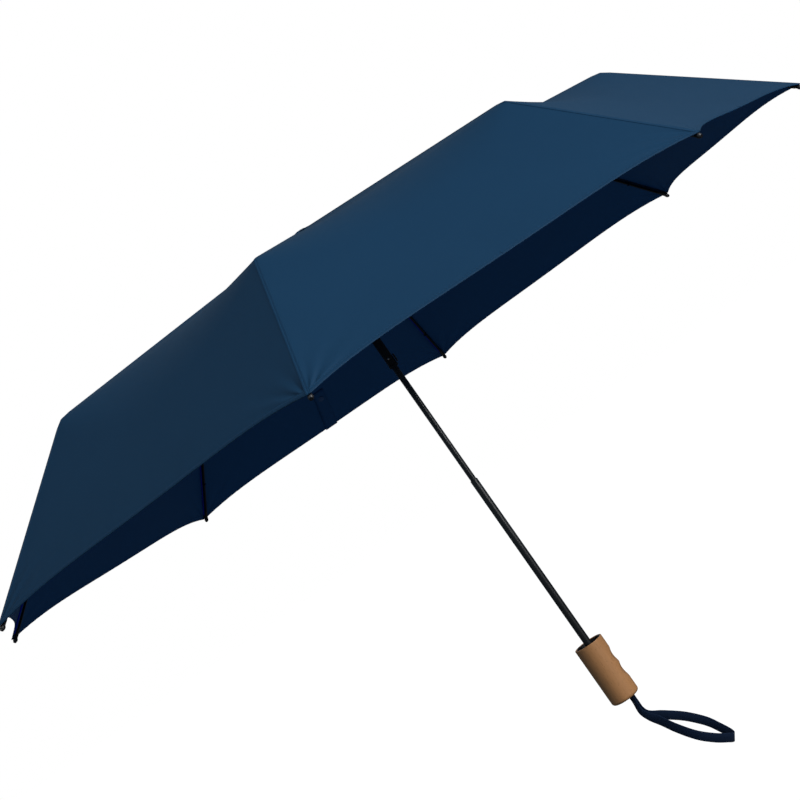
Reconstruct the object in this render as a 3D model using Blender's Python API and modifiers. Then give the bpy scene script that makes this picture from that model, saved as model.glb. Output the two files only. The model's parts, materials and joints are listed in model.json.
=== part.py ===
# A three-fold compact umbrella, open: telescopic shaft, eight jointed ribs and a short wooden handle.
# Metres, +Z up the shaft. The origin is the centre of the handle's flat bottom face.
# Rib 0 and the finger grooves point along +X.

import math

import bmesh
import bpy
from mathutils import Matrix, Vector

# Driving dimensions
rib_count = 8
clearance = 0.0003  # between pieces that touch or slide

handle_radius = 0.0158
handle_length = 0.068
handle_edge = 0.0035  # rounding of the bottom edge
rim_edge = 0.0005
cup_wall = 0.0016
cup_share = 0.243  # of the handle's length
liner_wall = 0.0007
groove_shares = (0.64, 0.39)  # heights of the grooves' middles, of the handle's length
groove_depth = 0.0022
groove_radius = 0.0165
tube_seat = 0.010

lower_tube_radius = 0.0040
lower_tube_wall = 0.0005
lower_tube_length = 0.259
middle_tube_wall = 0.0004
middle_tube_length = 0.176
middle_tube_overlap = 0.025
upper_tube_wall = 0.0004
upper_tube_length = 0.1732
upper_tube_overlap = 0.020
tube_foot_length = 0.004

rib_width = 0.0024
rib_height = 0.0026
outer_rib_width = 0.0018
outer_rib_height = 0.0022
stretcher_width = 0.0020
stretcher_height = 0.0022
eye_radius = 0.0011
eye_thickness = 0.0009
eye_offset = 0.00065  # sideways, so that two eyes lie side by side
root_eye_radius = 0.0014
bar_setback = 0.0035  # from a pivot to the full-width bar
inner_rib_length = 0.162
middle_rib_length = 0.1665
outer_rib_length = 0.1906
roof_slope = math.radians(7.65)
rim_slope = math.radians(38.76)
tip_radius = 0.0015
tip_length = 0.0065

notch_rim = 0.0012  # beyond the rib pivots
notch_rise = 0.0023
notch_drop = 0.0035
notch_hub_step = 0.0011  # from the slots in to the hub
notch_hub_drop = 0.009
notch_below_tube_top = 0.0042
slot_clearance = 0.00035
slot_depth = 0.0013  # from a rib's root eye in to the end of its slot

runner_drop = 0.100  # stretcher pivots below the rib pivots
runner_sleeve_length = 0.061
runner_sleeve_wall = 0.0004
runner_flange_half = 0.0025
runner_hub_wall = 0.0013
runner_hub_rise = 0.004
stretcher_reach = 0.070  # along the inner rib to the stretcher's outer pivot
stretcher_gap = 0.0004  # sideways from the inner rib
catch_size = (0.0016, 0.0030, 0.0090)
catch_height = 0.0030  # above the sleeve's lower end

cloth_thickness = 0.0006
cloth_lift = 0.00035  # above the rib joints' eyes
crown_hole_radius = 0.0066
seam_half_width = 0.0022
knee_sag = 0.010
fold_sag = 0.005
hem_sag = 0.006
hem_scallop = 0.011

cap_lap = 0.0004  # over the edge of the crown hole
cap_flange = 0.0012
cap_knob_radius = 0.0046
cap_height = 0.0030
cap_dome = 0.0010  # of the height
cap_clearance = 0.0005

strap_radius = 0.0008
strap_exit = Vector((0.0055, 0.0, 0.0))
strap_turn = math.radians(-45)
strap_slot = (0.0110, 0.0038, 0.0070)
strap_route_mm = (
    (4.8, -0.7, 5.0), (4.8, -0.8, -8.0), (4.4, -2.3, -19.0), (8.6, -4.4, -27.5),
    (16.0, -8.5, -36.5), (26.0, -18.7, -49.0), (39.7, -26.9, -64.4),
    (53.2, -25.0, -77.5), (63.4, -20.5, -85.7), (68.3, -15.5, -89.6),
    (67.6, -10.0, -86.8), (60.8, -2.6, -76.6), (52.5, 3.5, -65.4),
    (37.8, 4.4, -49.8), (22.4, 0.5, -36.4), (10.6, -2.0, -27.0),
    (6.4, -0.2, -19.0), (6.2, 0.6, -8.0), (6.2, 0.7, 5.0),
)
strap_steps = 4  # points read from the smooth curve in each span

turn_steps = 40

# Derived places
half_angle = math.pi / rib_count
cup_radius = handle_radius - cup_wall
cup_depth = cup_share * handle_length
groove_heights = [share * handle_length for share in groove_shares]
cap_radius = crown_hole_radius + cap_lap
middle_tube_radius = lower_tube_radius - lower_tube_wall - clearance
upper_tube_radius = middle_tube_radius - middle_tube_wall - clearance
lower_tube_bottom = tube_seat + clearance
lower_tube_top = lower_tube_bottom + lower_tube_length
middle_tube_bottom = lower_tube_top - middle_tube_overlap
middle_tube_top = middle_tube_bottom + middle_tube_length
upper_tube_bottom = middle_tube_top - upper_tube_overlap
upper_tube_top = upper_tube_bottom + upper_tube_length
crown_height = upper_tube_top - notch_below_tube_top
runner_height = crown_height - runner_drop
runner_bore = lower_tube_radius + clearance
sleeve_radius = runner_bore + runner_sleeve_wall
runner_hub_radius = sleeve_radius + runner_hub_wall
slot_inner_radius = runner_hub_radius + clearance
hinge_radius = slot_inner_radius + slot_depth + root_eye_radius  # rib pivots, crown and runner
notch_radius = hinge_radius + notch_rim
notch_hub_radius = slot_inner_radius - notch_hub_step
stretcher_offset = (rib_width + stretcher_width) / 2 + stretcher_gap

fold_offset = rib_height / 2 + clearance
outer_offset = outer_rib_height / 2 + clearance
cloth_height = fold_offset + eye_radius + cloth_lift  # underside, above the rib's centre line
roof_length = inner_rib_length + middle_rib_length


def along(slope):
    return Vector((math.cos(slope), 0, -math.sin(slope)))


def upward(slope):
    return Vector((math.sin(slope), 0, math.cos(slope)))


crown_pivot = Vector((hinge_radius, 0, crown_height))
fold_pivot = crown_pivot + inner_rib_length * along(roof_slope) + fold_offset * upward(roof_slope)
knee_pivot = crown_pivot + roof_length * along(roof_slope) - fold_offset * upward(roof_slope)
runner_pivot = Vector((hinge_radius, 0, runner_height))
stretcher_line = crown_pivot + stretcher_reach * along(roof_slope) - runner_pivot
stretcher_length = stretcher_line.length
stretcher_slope = -math.atan2(stretcher_line.z, stretcher_line.x)


# Scene and collections
for old in list(bpy.data.objects):
    bpy.data.objects.remove(old, do_unlink=True)

umbrella = bpy.data.collections.new("compact_umbrella")
cutters = bpy.data.collections.new("cutters")
bpy.context.scene.collection.children.link(umbrella)
bpy.context.scene.collection.children.link(cutters)
cutters.hide_render = True


def material(name, colour, roughness, metallic=0.0):
    made = bpy.data.materials.new(name)
    made.use_nodes = True
    shader = made.node_tree.nodes["Principled BSDF"]
    shader.inputs["Base Color"].default_value = (*colour, 1)
    shader.inputs["Roughness"].default_value = roughness
    shader.inputs["Metallic"].default_value = metallic
    return made


def place(name, data, look, collection=umbrella):
    obj = bpy.data.objects.new(name, data)
    collection.objects.link(obj)
    if look:
        obj.data.materials.clear()
        obj.data.materials.append(look)
    return obj


def turned(name, profile, look, closed=True):
    # The profile lies in the XZ plane and runs down its outer side.
    shape = bmesh.new()
    points = [shape.verts.new((r, 0, z)) for r, z in profile]
    for one, two in zip(points, points[1:]):
        shape.edges.new((one, two))
    if closed:
        shape.edges.new((points[-1], points[0]))
    data = bpy.data.meshes.new(name)
    shape.to_mesh(data)
    shape.free()
    obj = place(name, data, look)
    screw = obj.modifiers.new("turn", "SCREW")
    screw.steps = screw.render_steps = turn_steps
    screw.use_merge_vertices = True
    screw.merge_threshold = 0.00001
    screw.use_smooth_shade = True
    return obj


def cutter(name, data):
    obj = place(name, data, None, cutters)
    obj.hide_render = True
    obj.display_type = "WIRE"
    return obj


def cut(obj, tool):
    boolean = obj.modifiers.new(tool.name, "BOOLEAN")
    boolean.operation = "DIFFERENCE"
    boolean.object = tool


def box(low, high):
    size = Vector(high) - Vector(low)
    middle = (Vector(high) + Vector(low)) / 2
    shape = bmesh.new()
    scale = Matrix.Diagonal((*size, 1))
    bmesh.ops.create_cube(shape, size=1, matrix=Matrix.Translation(middle) @ scale)
    return shape


def disc(centre, radius, thickness, segments=14):
    # A short cylinder whose axis is the local Y axis.
    shape = bmesh.new()
    turn = Matrix.Translation(centre) @ Matrix.Rotation(math.pi / 2, 4, "X")
    bmesh.ops.create_cone(
        shape, cap_ends=True, segments=segments, radius1=radius, radius2=radius, depth=thickness, matrix=turn
    )
    return shape


def rod(start, end, radius, segments=10):
    # A cylinder along the local X axis.
    shape = bmesh.new()
    turn = Matrix.Translation(((start + end) / 2, 0, 0)) @ Matrix.Rotation(math.pi / 2, 4, "Y")
    bmesh.ops.create_cone(
        shape, cap_ends=True, segments=segments, radius1=radius, radius2=radius,
        depth=end - start, matrix=turn,
    )
    return shape


def fused(name, shapes):
    # One mesh that is the union of the shapes.
    parts = []
    for index, shape in enumerate(shapes):
        data = bpy.data.meshes.new(f"{name}_{index}")
        shape.to_mesh(data)
        shape.free()
        parts.append(cutter(f"{name}_{index}", data))
    for part in parts[1:]:
        join = parts[0].modifiers.new("join", "BOOLEAN")
        join.operation = "UNION"
        join.object = part
    graph = bpy.context.evaluated_depsgraph_get()
    data = bpy.data.meshes.new_from_object(parts[0].evaluated_get(graph))
    data.name = name
    for part in parts:
        bpy.data.objects.remove(part, do_unlink=True)
    return data


def star_of_slots(name, inner, outer, low, high, offset, half_width):
    # Eight radial boxes, one for each rib, that cut the slots of a hinge disc.
    star = bmesh.new()
    for index in range(rib_count):
        slot = box((inner, offset - half_width, low), (outer, offset + half_width, high))
        slot.transform(Matrix.Rotation(2 * half_angle * index, 4, "Z"))
        arm = bpy.data.meshes.new("arm")
        slot.to_mesh(arm)
        slot.free()
        star.from_mesh(arm)
        bpy.data.meshes.remove(arm)
    data = bpy.data.meshes.new(name)
    star.to_mesh(data)
    star.free()
    return cutter(name, data)


wood = material("beech_wood", (0.42, 0.22, 0.10), 0.45)
black_plastic = material("black_plastic", (0.012, 0.012, 0.013), 0.4)
black_steel = material("black_steel", (0.01, 0.01, 0.011), 0.2, 0.6)
rib_steel = material("rib_steel", (0.03, 0.03, 0.035), 0.35, 0.8)
navy_cloth = material("navy_cloth", (0.012, 0.045, 0.10), 0.75)
navy_tape = material("navy_tape", (0.008, 0.02, 0.06), 0.8)


def make_handle():
    floor = handle_length - cup_depth
    bore = lower_tube_radius + clearance
    foot = [
        (handle_radius - handle_edge * (1 - math.cos(turn)), handle_edge * (1 - math.sin(turn)))
        for turn in (math.radians(15 * step) for step in range(7))
    ]
    profile = [
        (0, tube_seat), (bore, tube_seat), (bore, floor), (cup_radius, floor),
        (cup_radius, handle_length - rim_edge), (cup_radius + rim_edge, handle_length),
        (handle_radius - rim_edge, handle_length), (handle_radius, handle_length - rim_edge),
        *foot, (0, 0),
    ]
    handle = turned("handle", profile, wood, closed=False)
    for index, height in enumerate(groove_heights):
        shape = bmesh.new()
        reach = handle_radius + groove_radius - groove_depth
        turn = Matrix.Translation((reach, 0, height)) @ Matrix.Rotation(math.pi / 2, 4, "X")
        bmesh.ops.create_cone(
            shape, cap_ends=True, segments=64, radius1=groove_radius, radius2=groove_radius,
            depth=4 * handle_radius, matrix=turn,
        )
        data = bpy.data.meshes.new("groove")
        shape.to_mesh(data)
        shape.free()
        cut(handle, cutter(f"finger_groove_{index}", data))
    length, width, depth = strap_slot
    slot = box((-length / 2, -width / 2, -depth), (length / 2, width / 2, depth))
    data = bpy.data.meshes.new("strap_slot")
    slot.to_mesh(data)
    slot.free()
    tool = cutter("strap_slot", data)
    tool.location = strap_exit
    tool.rotation_euler.z = strap_turn
    cut(handle, tool)

    low = floor + clearance
    outer = cup_radius - clearance
    inner = outer - liner_wall
    liner = [
        (bore, low), (bore, low + liner_wall), (inner, low + liner_wall),
        (inner, handle_length - rim_edge), (outer, handle_length - rim_edge), (outer, low),
    ]
    turned("cup_liner", liner, black_plastic)


def make_tube(name, radius, wall, bottom, top):
    lip = wall * 0.6
    profile = [
        (radius - wall, bottom), (radius - wall, top), (radius - lip, top), (radius, top - lip),
        (radius, bottom),
    ]
    turned(name, profile, black_steel)


def make_foot(name, radius, tube_bottom):
    top = tube_bottom - clearance
    profile = [(0, top), (radius, top), (radius, top - tube_foot_length), (0, top - tube_foot_length)]
    turned(name, profile, black_plastic, closed=False)


def make_shaft():
    make_tube("lower_tube", lower_tube_radius, lower_tube_wall, lower_tube_bottom, lower_tube_top)
    make_tube("middle_tube", middle_tube_radius, middle_tube_wall, middle_tube_bottom, middle_tube_top)
    make_tube("upper_tube", upper_tube_radius, upper_tube_wall, upper_tube_bottom, upper_tube_top)
    make_foot("middle_tube_foot", middle_tube_radius, middle_tube_bottom)
    make_foot("upper_tube_foot", upper_tube_radius, upper_tube_bottom)


def make_crown():
    bore = upper_tube_radius + clearance
    top = crown_height + notch_rise
    low = crown_height - notch_drop
    foot = crown_height - notch_hub_drop
    profile = [
        (bore, foot), (bore, top), (notch_radius, top), (notch_radius, low), (notch_hub_radius, low),
        (notch_hub_radius, foot),
    ]
    notch = turned("crown_notch", profile, black_plastic)
    half = rib_width / 2 + slot_clearance
    cut(notch, star_of_slots(
        "crown_slots", slot_inner_radius, 2 * notch_radius, low - rib_height, top + rib_height, 0, half
    ))

    # The cap sits on the cloth, over its crown hole.
    cloth_top = crown_height + (cloth_height + cloth_thickness) / math.cos(roof_slope)
    rise = hinge_radius * math.tan(roof_slope)
    base = max(cloth_top + rise, upper_tube_top) + cap_clearance
    knob = [
        (cap_knob_radius * math.sin(turn), base + cap_height - cap_dome * (1 - math.cos(turn)))
        for turn in (math.radians(15 * step) for step in range(1, 7))
    ]
    cap = [
        (0, base + cap_height), *knob, (cap_knob_radius, base + cap_flange + 0.0008),
        (cap_knob_radius + 0.0008, base + cap_flange), (cap_radius - 0.0004, base + cap_flange),
        (cap_radius, base + cap_flange - 0.0004), (cap_radius, base), (0, base),
    ]
    turned("top_cap", cap, black_plastic, closed=False)


def make_runner():
    low = runner_height - runner_sleeve_length
    top = runner_height + runner_hub_rise
    above = runner_height + runner_flange_half
    below = runner_height - runner_flange_half
    profile = [
        (runner_bore, low), (runner_bore, top), (runner_hub_radius, top), (runner_hub_radius, above),
        (notch_radius, above), (notch_radius, below), (runner_hub_radius, below),
        (sleeve_radius + 0.0004, below - 0.006), (sleeve_radius, below - 0.008), (sleeve_radius, low + 0.003),
        (sleeve_radius + 0.0003, low + 0.0022), (sleeve_radius + 0.0003, low),
    ]
    runner = turned("runner", profile, black_plastic)
    half = stretcher_width / 2 + slot_clearance
    cut(runner, star_of_slots(
        "runner_slots", slot_inner_radius, 2 * notch_radius, below - 0.001, above + 0.001,
        stretcher_offset, half,
    ))
    depth, width, height = catch_size
    inner = sleeve_radius + 0.0003 + clearance
    data = bpy.data.meshes.new("runner_catch")
    foot = low + catch_height
    shape = box((inner, -width / 2, foot), (inner + depth, width / 2, foot + height))
    shape.to_mesh(data)
    shape.free()
    catch = place("runner_catch", data, black_plastic)
    edge = catch.modifiers.new("edge", "BEVEL")
    edge.width = 0.0004
    edge.segments = 2


def link_mesh(name, width, height, centre, length, ends, tip=None):
    # A flat bar along local X at height centre, with an eye at each end: (x, z, side, radius, thickness).
    start = ends[0][0] + bar_setback
    stop = length - bar_setback if len(ends) > 1 else length
    half = height / 2
    shapes = [box((start, -width / 2, centre - half), (stop, width / 2, centre + half))]
    for x, z, side, radius, thickness in ends:
        offset = side * eye_offset
        near, far = sorted((x, start + 0.002 if x < start else stop - 0.002))
        low, high = min(z, centre - half + 0.0001), max(z, centre + half - 0.0001)
        shapes.append(box((near, offset - thickness / 2, low), (far, offset + thickness / 2, high)))
        shapes.append(disc((x, offset, z), radius, thickness))
    if tip:
        cap = rod(length - 0.001, length + tip, tip_radius)
        cap.transform(Matrix.Translation((0, 0, centre)))
        shapes.append(cap)
    return fused(name, shapes)


def make_link_meshes():
    plain = (eye_radius, eye_thickness)
    root = (root_eye_radius, 2 * eye_thickness)
    inner = link_mesh(
        "inner_rib", rib_width, rib_height, 0, inner_rib_length,
        [(0, 0, 0, *root), (inner_rib_length, fold_offset, -1, *plain)],
    )
    middle = link_mesh(
        "middle_rib", rib_width, rib_height, -fold_offset, middle_rib_length,
        [(0, 0, 1, *plain), (middle_rib_length, -2 * fold_offset, -1, *plain)],
    )
    outer = link_mesh(
        "outer_rib", outer_rib_width, outer_rib_height, outer_offset, outer_rib_length,
        [(0, 0, 1, *plain)], tip_length,
    )
    stretcher = link_mesh(
        "stretcher", stretcher_width, stretcher_height, 0, stretcher_length + bar_setback,
        [
            (0, 0, 0, root_eye_radius, stretcher_width),
            (stretcher_length, 0, 0, root_eye_radius, stretcher_width),
        ],
    )
    stretcher.transform(Matrix.Translation((0, stretcher_offset, 0)))
    return inner, middle, outer, stretcher


def crossing(one, slope_one, two, slope_two):
    # Where two lines of the radial plane meet.
    u, v, gap = along(slope_one), along(slope_two), two - one
    return one + u * ((gap.x * v.z - gap.z * v.x) / (u.x * v.z - u.z * v.x))


def cloth_rows():
    # Rows of the cloth's underside over a rib: point, sag direction, sag, pull towards the crown at mid-gore.
    roof_up, rim_up = upward(roof_slope), upward(rim_slope)
    root = crown_pivot + cloth_height * roof_up
    start = root + along(roof_slope) * ((crown_hole_radius - root.x) / math.cos(roof_slope))
    hem = knee_pivot + outer_rib_length * along(rim_slope) + (outer_offset + cloth_height - rib_height / 2
                                                              + outer_rib_height / 2) * rim_up
    knee = crossing(root, roof_slope, hem, rim_slope)
    fold = root + inner_rib_length * along(roof_slope)
    gap = along(roof_slope) * clearance / 2
    knee_up = (roof_up + rim_up).normalized()
    roof = [
        (start, roof_up, 0, 0), (start.lerp(fold, 0.5), roof_up, fold_sag / 2, 0),
        (fold - gap, roof_up, fold_sag, 0),
    ]
    rim = [
        (fold + gap, roof_up, fold_sag, 0),
        (fold.lerp(knee, 0.5), roof_up, (fold_sag + knee_sag) / 2, 0),
        (knee, knee_up, knee_sag, 0),
        (knee.lerp(hem, 0.5), rim_up, (knee_sag + hem_sag) / 2, hem_scallop / 2),
        (hem, rim_up, hem_sag, hem_scallop),
    ]
    return roof, rim


def cloth_mesh(name, rows, slope_of_row):
    # One gore-wide strip centred on a rib. Columns: three on each side of a narrow flat seam.
    shares = (1, 2 / 3, 1 / 3, 0)
    columns = [(-1, share) for share in shares] + [(1, share) for share in reversed(shares)]
    shape = bmesh.new()
    bmesh.ops.create_grid(shape, x_segments=len(rows) - 1, y_segments=len(columns) - 1, size=1)
    for vert in shape.verts:
        row = round((vert.co.x + 1) / 2 * (len(rows) - 1))
        side, share = columns[round((vert.co.y + 1) / 2 * (len(columns) - 1))]
        point, up, sag, pull = rows[row]
        bow = share * (2 - share)
        dropped = point - up * sag * bow - along(slope_of_row[row]) * pull * bow
        reach = dropped.x * math.cos(half_angle)
        x = dropped.x + share * (reach * math.cos(half_angle) - dropped.x)
        y = seam_half_width + share * (reach * math.sin(half_angle) - seam_half_width)
        inset = share * clearance * 0.7
        vert.co = (x + inset * math.sin(half_angle), side * (y - inset * math.cos(half_angle)), dropped.z)
    bmesh.ops.recalc_face_normals(shape, faces=shape.faces)
    if sum(face.normal.z for face in shape.faces) < 0:
        bmesh.ops.reverse_faces(shape, faces=shape.faces)
    data = bpy.data.meshes.new(name)
    shape.to_mesh(data)
    shape.free()
    return data


def make_ribs():
    inner, middle, outer, stretcher = make_link_meshes()
    roof_rows, rim_rows = cloth_rows()
    roof = cloth_mesh("roof_panel", roof_rows, [roof_slope] * 3)
    rim = cloth_mesh("rim_panel", rim_rows, [roof_slope] * 3 + [rim_slope] * 2)
    links = (
        ("inner_rib", inner, crown_pivot, roof_slope, rib_steel),
        ("middle_rib", middle, fold_pivot, roof_slope, rib_steel),
        ("outer_rib", outer, knee_pivot, rim_slope, rib_steel),
        ("stretcher", stretcher, runner_pivot, stretcher_slope, rib_steel),
    )
    for index in range(rib_count):
        frame = bpy.data.objects.new(f"rib_frame_{index}", None)
        umbrella.objects.link(frame)
        frame.rotation_euler.z = 2 * half_angle * index
        for name, data, pivot, slope, look in links:
            obj = place(f"{name}_{index}", data, look)
            obj.parent = frame
            obj.location = pivot
            obj.rotation_euler.y = slope
        for name, data in (("roof_panel", roof), ("rim_panel", rim)):
            panel = place(f"{name}_{index}", data, navy_cloth)
            panel.parent = frame
            thicken = panel.modifiers.new("thickness", "SOLIDIFY")
            thicken.thickness = cloth_thickness
            thicken.offset = 1


def through(points, steps):
    # A smooth curve through the points, read at equal shares of each span.
    ends = [points[0] * 2 - points[1], *points, points[-1] * 2 - points[-2]]
    route = []
    for before, one, two, after in zip(ends, ends[1:], ends[2:], ends[3:]):
        for step in range(steps):
            t = step / steps
            route.append(0.5 * (
                2 * one + (two - before) * t + (2 * before - 5 * one + 4 * two - after) * t * t
                + (3 * one - before - 3 * two + after) * t ** 3
            ))
    return [*route, points[-1]]


def make_strap():
    # One tape, doubled where it leaves the handle and open as a loop below.
    route = through([Vector(point) / 1000 for point in strap_route_mm], strap_steps)
    curve = bpy.data.curves.new("wrist_strap", "CURVE")
    curve.dimensions = "3D"
    curve.bevel_depth = strap_radius
    curve.bevel_resolution = 2
    curve.use_fill_caps = True
    spline = curve.splines.new("POLY")
    spline.points.add(len(route) - 1)
    for point, place_at in zip(spline.points, route):
        point.co = (*place_at, 1)
    place("wrist_strap", curve, navy_tape)


make_handle()
make_shaft()
make_crown()
make_runner()
make_ribs()
make_strap()
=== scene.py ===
import json
import math

import bpy
import numpy as np
from mathutils import Matrix, Vector


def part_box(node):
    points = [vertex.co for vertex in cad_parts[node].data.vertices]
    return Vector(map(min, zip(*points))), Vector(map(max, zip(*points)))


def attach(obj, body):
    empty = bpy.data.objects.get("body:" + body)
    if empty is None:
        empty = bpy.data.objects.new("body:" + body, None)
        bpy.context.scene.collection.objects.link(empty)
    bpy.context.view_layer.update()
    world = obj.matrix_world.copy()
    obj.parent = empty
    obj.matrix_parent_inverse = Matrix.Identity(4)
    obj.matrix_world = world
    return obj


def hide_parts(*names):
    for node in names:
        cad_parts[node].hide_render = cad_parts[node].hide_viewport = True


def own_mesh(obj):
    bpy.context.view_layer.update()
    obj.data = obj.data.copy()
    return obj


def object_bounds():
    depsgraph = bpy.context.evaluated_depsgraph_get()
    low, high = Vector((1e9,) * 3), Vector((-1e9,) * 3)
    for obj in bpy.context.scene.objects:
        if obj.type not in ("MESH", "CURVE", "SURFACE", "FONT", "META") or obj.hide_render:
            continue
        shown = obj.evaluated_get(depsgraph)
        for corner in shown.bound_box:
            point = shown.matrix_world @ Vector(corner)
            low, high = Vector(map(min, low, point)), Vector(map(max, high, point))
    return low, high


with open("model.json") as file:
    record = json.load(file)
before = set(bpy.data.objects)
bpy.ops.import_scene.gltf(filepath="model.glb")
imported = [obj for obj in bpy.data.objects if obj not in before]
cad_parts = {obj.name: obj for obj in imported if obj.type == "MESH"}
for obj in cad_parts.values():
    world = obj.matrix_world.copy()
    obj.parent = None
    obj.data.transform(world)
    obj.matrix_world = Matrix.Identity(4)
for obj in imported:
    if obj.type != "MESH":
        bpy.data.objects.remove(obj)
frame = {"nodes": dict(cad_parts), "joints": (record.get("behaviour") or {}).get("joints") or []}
cadBox = [list(corner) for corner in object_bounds()]
joints = {joint["name"]: joint for joint in frame["joints"]}
ribCount = sum(name.startswith("inner_rib_") for name in frame["nodes"])
halfAngle = math.pi / ribCount
print("frame loaded,", ribCount, "ribs")

# ---- camera, light and floor

camera = {
    "place": (0.2093, -1.6488, 0.3345),
    "turn": (89.04, 34.98, 4.54),  # degrees
    "lens": 74.11,
    "shift": (-0.125, 0.0125),
}
studio = {
    "keyFrom": (0.74, -0.58, 0.35), "keyDistance": 2.6, "keySize": 1.6, "keyPower": 74,
    "fillFrom": (-0.5, -0.8, 0.9), "fillSize": 2.4, "fillPower": 10,
    "middle": (0, 0, 0.42),  # what both lights are aimed at
    "worldLight": 0.22, "worldColour": (0.72, 0.95, 1.15),
    "floorDrop": 0.9, "floorReach": 30, "floorGrey": 0.12, "floorRoughness": 0.9,
}


def aimed(obj, direction, distance, target):
    obj.location = Vector(target) + Vector(direction).normalized() * distance
    obj.rotation_euler = Vector(direction).to_track_quat("Z", "Y").to_euler()


def makeStudio():
    data = bpy.data.cameras.new("camera")
    data.lens = camera["lens"]
    data.shift_x, data.shift_y = camera["shift"]
    obj = bpy.data.objects.new("camera", data)
    obj.location = camera["place"]
    obj.rotation_euler = [math.radians(angle) for angle in camera["turn"]]
    bpy.context.scene.collection.objects.link(obj)
    bpy.context.scene.camera = obj
    bpy.context.scene.view_settings.view_transform = "Standard"

    for name, side, power, size in (
        ("keyLight", studio["keyFrom"], studio["keyPower"], studio["keySize"]),
        ("fillLight", studio["fillFrom"], studio["fillPower"], studio["fillSize"]),
    ):
        lamp = bpy.data.lights.new(name, "AREA")
        lamp.energy = power
        lamp.size = size
        obj = bpy.data.objects.new(name, lamp)
        bpy.context.scene.collection.objects.link(obj)
        aimed(obj, side, studio["keyDistance"], studio["middle"])

    world = bpy.data.worlds.new("studio")
    bpy.context.scene.world = world
    world.use_nodes = True
    nodes, links = world.node_tree.nodes, world.node_tree.links
    nodes.clear()
    out = nodes.new("ShaderNodeOutputWorld")
    mix = nodes.new("ShaderNodeMixShader")
    path = nodes.new("ShaderNodeLightPath")
    soft, seen = nodes.new("ShaderNodeBackground"), nodes.new("ShaderNodeBackground")
    soft.inputs["Color"].default_value = (*studio["worldColour"], 1)
    soft.inputs["Strength"].default_value = studio["worldLight"]
    seen.inputs["Strength"].default_value = 1
    seen.inputs["Color"].default_value = (1, 1, 1, 1)
    links.new(path.outputs["Is Camera Ray"], mix.inputs[0])
    links.new(soft.outputs[0], mix.inputs[1])
    links.new(seen.outputs[0], mix.inputs[2])
    links.new(mix.outputs[0], out.inputs[0])

    floor = bpy.data.meshes.new("floor")
    reach = studio["floorReach"]
    corners = ((-reach, -reach, 0), (reach, -reach, 0), (reach, reach, 0), (-reach, reach, 0))
    floor.from_pydata(corners, [], [(0, 1, 2, 3)])
    obj = bpy.data.objects.new("floor", floor)
    obj.location.z = cadBox[0][2] - studio["floorDrop"]
    bpy.context.scene.collection.objects.link(obj)
    paint = bpy.data.materials.new("floorPaint")
    paint.use_nodes = True
    shader = paint.node_tree.nodes["Principled BSDF"]
    shader.inputs["Base Color"].default_value = (*[studio["floorGrey"]] * 3, 1)
    shader.inputs["Roughness"].default_value = studio["floorRoughness"]
    shader.inputs["Emission Color"].default_value = (1, 1, 1, 1)
    shine = paint.node_tree.nodes.new("ShaderNodeLightPath")
    paint.node_tree.links.new(shine.outputs["Is Camera Ray"], shader.inputs["Emission Strength"])
    floor.materials.append(paint)


makeStudio()
print("studio done")

# ---- shared effects


def newGroup(name, inputs, outputs):
    group = bpy.data.node_groups.new(name, "ShaderNodeTree")
    for label, value in inputs:
        socket = group.interface.new_socket(label, in_out="INPUT", socket_type="NodeSocketFloat")
        socket.default_value = value
    for label in outputs:
        group.interface.new_socket(label, in_out="OUTPUT", socket_type="NodeSocketFloat")
    return group, group.nodes.new("NodeGroupInput"), group.nodes.new("NodeGroupOutput")


def calc(tree, kind, one, two=None):
    node = tree.nodes.new("ShaderNodeMath")
    node.operation = kind
    for socket, value in zip(node.inputs, (one, two)):
        if value is None:
            continue
        if isinstance(value, (int, float)):
            socket.default_value = value
        else:
            tree.links.new(value, socket)
    return node.outputs[0]


def noise(tree, vector, scale, detail=2.0, rough=0.5):
    node = tree.nodes.new("ShaderNodeTexNoise")
    node.inputs["Scale"].default_value = scale
    node.inputs["Detail"].default_value = detail
    node.inputs["Roughness"].default_value = rough
    tree.links.new(vector, node.inputs["Vector"])
    return node.outputs["Fac"]


def weaveGroup():
    # Crossed threads in the cloth's own metres, with slubs and a slow cloudiness.
    group, start, end = newGroup(
        "plainWeave", [("Threads per metre", 2400), ("Slub", 0.5)], ["Height", "Thread", "Cloud"]
    )
    uv = group.nodes.new("ShaderNodeUVMap")
    split = group.nodes.new("ShaderNodeSeparateXYZ")
    group.links.new(uv.outputs[0], split.inputs[0])
    turns = calc(group, "MULTIPLY", start.outputs["Threads per metre"], math.pi)
    warp = calc(group, "SINE", calc(group, "MULTIPLY", split.outputs[0], turns))
    weft = calc(group, "SINE", calc(group, "MULTIPLY", split.outputs[1], turns))
    both = calc(group, "MULTIPLY", warp, weft)
    slub = noise(group, uv.outputs[0], 900, 2)
    height = calc(group, "ADD", both, calc(group, "MULTIPLY", slub, start.outputs["Slub"]))
    cloud = noise(group, uv.outputs[0], 9, 3)
    group.links.new(height, end.inputs["Height"])
    group.links.new(calc(group, "ADD", calc(group, "MULTIPLY", both, 0.5), 0.5), end.inputs["Thread"])
    group.links.new(cloud, end.inputs["Cloud"])
    return group


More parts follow.
